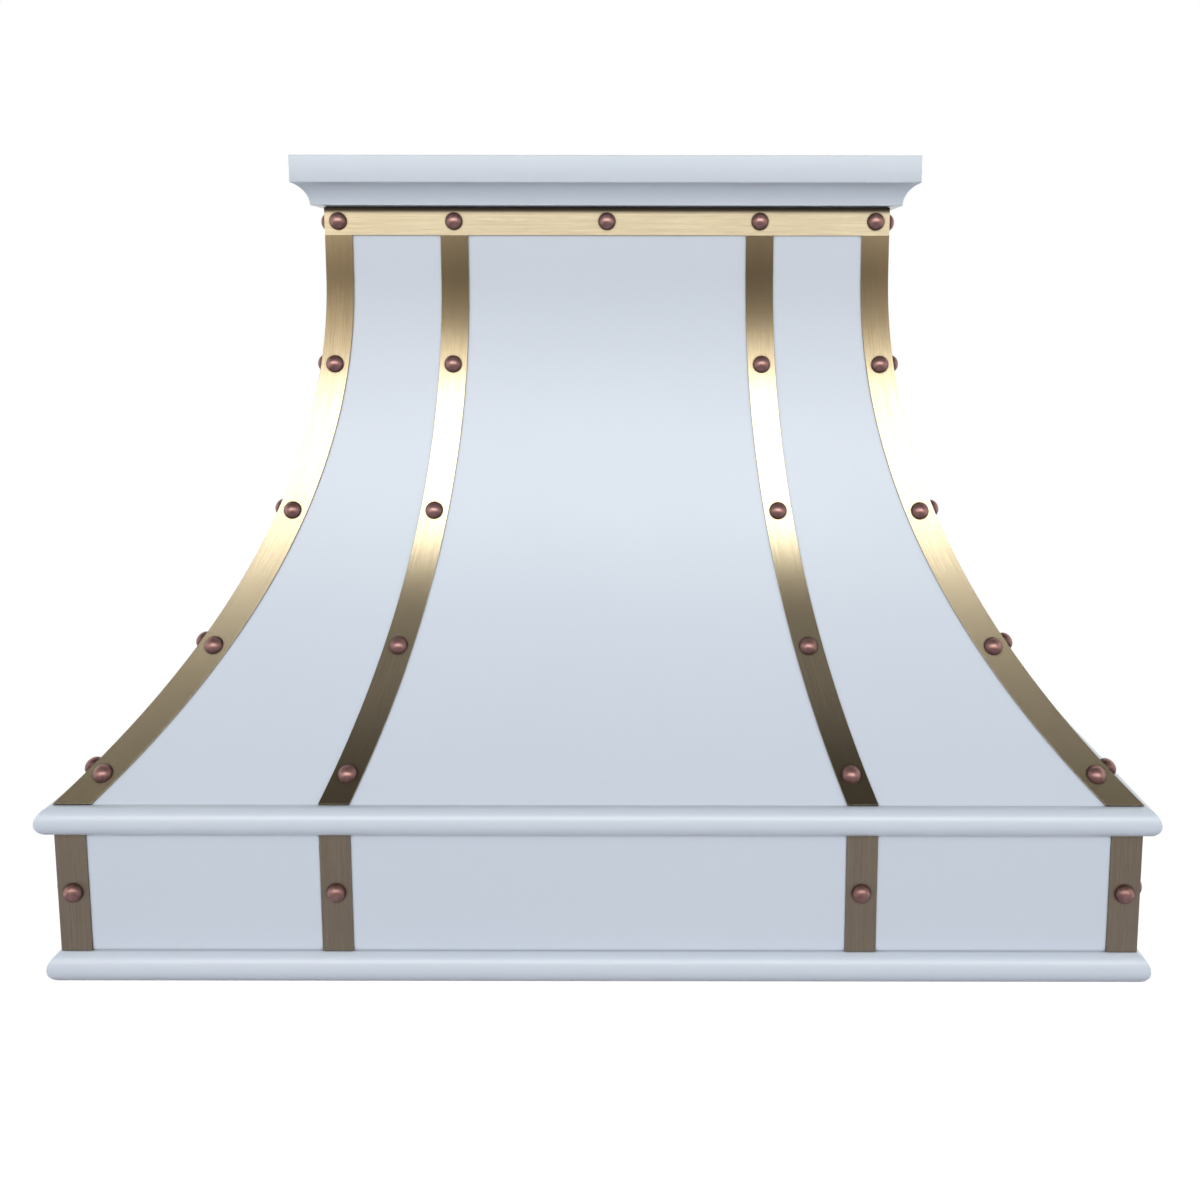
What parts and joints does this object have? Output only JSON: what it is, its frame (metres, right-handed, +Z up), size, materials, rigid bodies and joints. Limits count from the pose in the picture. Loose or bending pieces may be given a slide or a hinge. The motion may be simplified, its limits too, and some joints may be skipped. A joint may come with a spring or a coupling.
{
  "type": "range hood",
  "caption": "Wall range hood with a flared white bell, crown moulding, riveted brass straps, baffle filters, fan and top duct collar.",
  "frame": {"origin": "middle of the bottom edge of the hood's back, on the wall plane", "axes": "+X to the right seen from the front, +Y into the wall, +Z up"},
  "size_m": [1.2192, 0.6096, 0.9235],
  "materials": {
    "painted_white": "satin paint",
    "brass": "brushed along the strap",
    "aged_copper": "dark antique",
    "galvanised": "galvanised",
    "liner_steel": "brushed",
    "filter_steel": "satin",
    "fan_wheel": "matt",
    "shaft_steel": "ground",
    "motor_case": "cast",
    "magnet": "dull",
    "lens": "frosted",
    "dark_plastic": "fine grain",
    "button_plastic": "satin"
  },
  "bodies": {
    "hood": {"front_panel": "painted_white", "right_panel": "painted_white", "left_panel": "painted_white", "apron_band": "painted_white", "lower_moulding": "painted_white", "upper_moulding": "painted_white", "crown_moulding": "painted_white", "top_band": "brass", "corner_strap_right": "brass", "corner_strap_left": "brass", "inner_strap_right": "brass", "inner_strap_left": "brass", "side_straps_right": "brass", "side_straps_left": "brass", "apron_straps": "brass", "rivets_front": "aged_copper", "rivets_right": "aged_copper", "rivets_left": "aged_copper", "back_panel": "galvanised", "mounting_rails": "galvanised", "top_plate": "galvanised", "duct_collar": "galvanised", "damper_bearings": "galvanised", "damper_stops": "galvanised", "plenum_duct": "galvanised", "scroll_wrap": "galvanised", "scroll_inlet_side": "galvanised", "scroll_motor_side": "galvanised", "fan_brackets": "galvanised", "terminal_box": "galvanised", "liner_front": "liner_steel", "liner_rear": "liner_steel", "liner_right": "liner_steel", "liner_left": "liner_steel", "liner_dividers": "liner_steel", "pivot_rod": "liner_steel", "light_bezels": "liner_steel", "control_plate": "liner_steel", "motor": "motor_case", "filter_magnets": "magnet", "light_lenses": "lens", "light_modules": "dark_plastic", "switch_block": "dark_plastic"},
    "filter_left": {"filter_frame_left": "filter_steel", "filter_baffles_left": "filter_steel", "filter_handle_left": "filter_steel"},
    "filter_centre": {"filter_frame_centre": "filter_steel", "filter_baffles_centre": "filter_steel", "filter_handle_centre": "filter_steel"},
    "filter_right": {"filter_frame_right": "filter_steel", "filter_baffles_right": "filter_steel", "filter_handle_right": "filter_steel"},
    "fan_wheel": {"impeller": "fan_wheel", "drive_shaft": "shaft_steel"},
    "front_flap": {"damper_flap_front": "galvanised"},
    "rear_flap": {"damper_flap_rear": "galvanised"},
    "button_light": {"button_light": "button_plastic"},
    "button_low": {"button_low": "button_plastic"},
    "button_high": {"button_high": "button_plastic"},
    "button_off": {"button_off": "button_plastic"}
  },
  "joints": [
    {"name": "filter_left_swing", "type": "hinge", "parent": "hood", "child": "filter_left", "pos_m": [-0.355, -0.1095, 0.057], "axis": [1, 0, 0], "range_deg": [0, 75]},
    {"name": "filter_centre_swing", "type": "hinge", "parent": "hood", "child": "filter_centre", "pos_m": [0, -0.1095, 0.057], "axis": [1, 0, 0], "range_deg": [0, 75]},
    {"name": "filter_right_swing", "type": "hinge", "parent": "hood", "child": "filter_right", "pos_m": [0.355, -0.1095, 0.057], "axis": [1, 0, 0], "range_deg": [0, 75]},
    {"name": "front_flap_swing", "type": "hinge", "parent": "hood", "child": "front_flap", "pos_m": [0, -0.1785, 0.7635], "axis": [-1, 0, 0], "range_deg": [0, 80]},
    {"name": "rear_flap_swing", "type": "hinge", "parent": "hood", "child": "rear_flap", "pos_m": [0, -0.1675, 0.7635], "axis": [1, 0, 0], "range_deg": [0, 80]},
    {"name": "fan_spin", "type": "hinge", "parent": "hood", "child": "fan_wheel", "pos_m": [0, -0.246, 0.4], "axis": [1, 0, 0], "continuous": true},
    {"name": "button_light_press", "type": "slide", "parent": "hood", "child": "button_light", "axis": [0, 0, 1], "range_m": [0, 0.003], "stiffness_N_per_m": 300},
    {"name": "button_low_press", "type": "slide", "parent": "hood", "child": "button_low", "axis": [0, 0, 1], "range_m": [0, 0.003], "stiffness_N_per_m": 300},
    {"name": "button_high_press", "type": "slide", "parent": "hood", "child": "button_high", "axis": [0, 0, 1], "range_m": [0, 0.003], "stiffness_N_per_m": 300},
    {"name": "button_off_press", "type": "slide", "parent": "hood", "child": "button_off", "axis": [0, 0, 1], "range_m": [0, 0.003], "stiffness_N_per_m": 300}
  ]
}
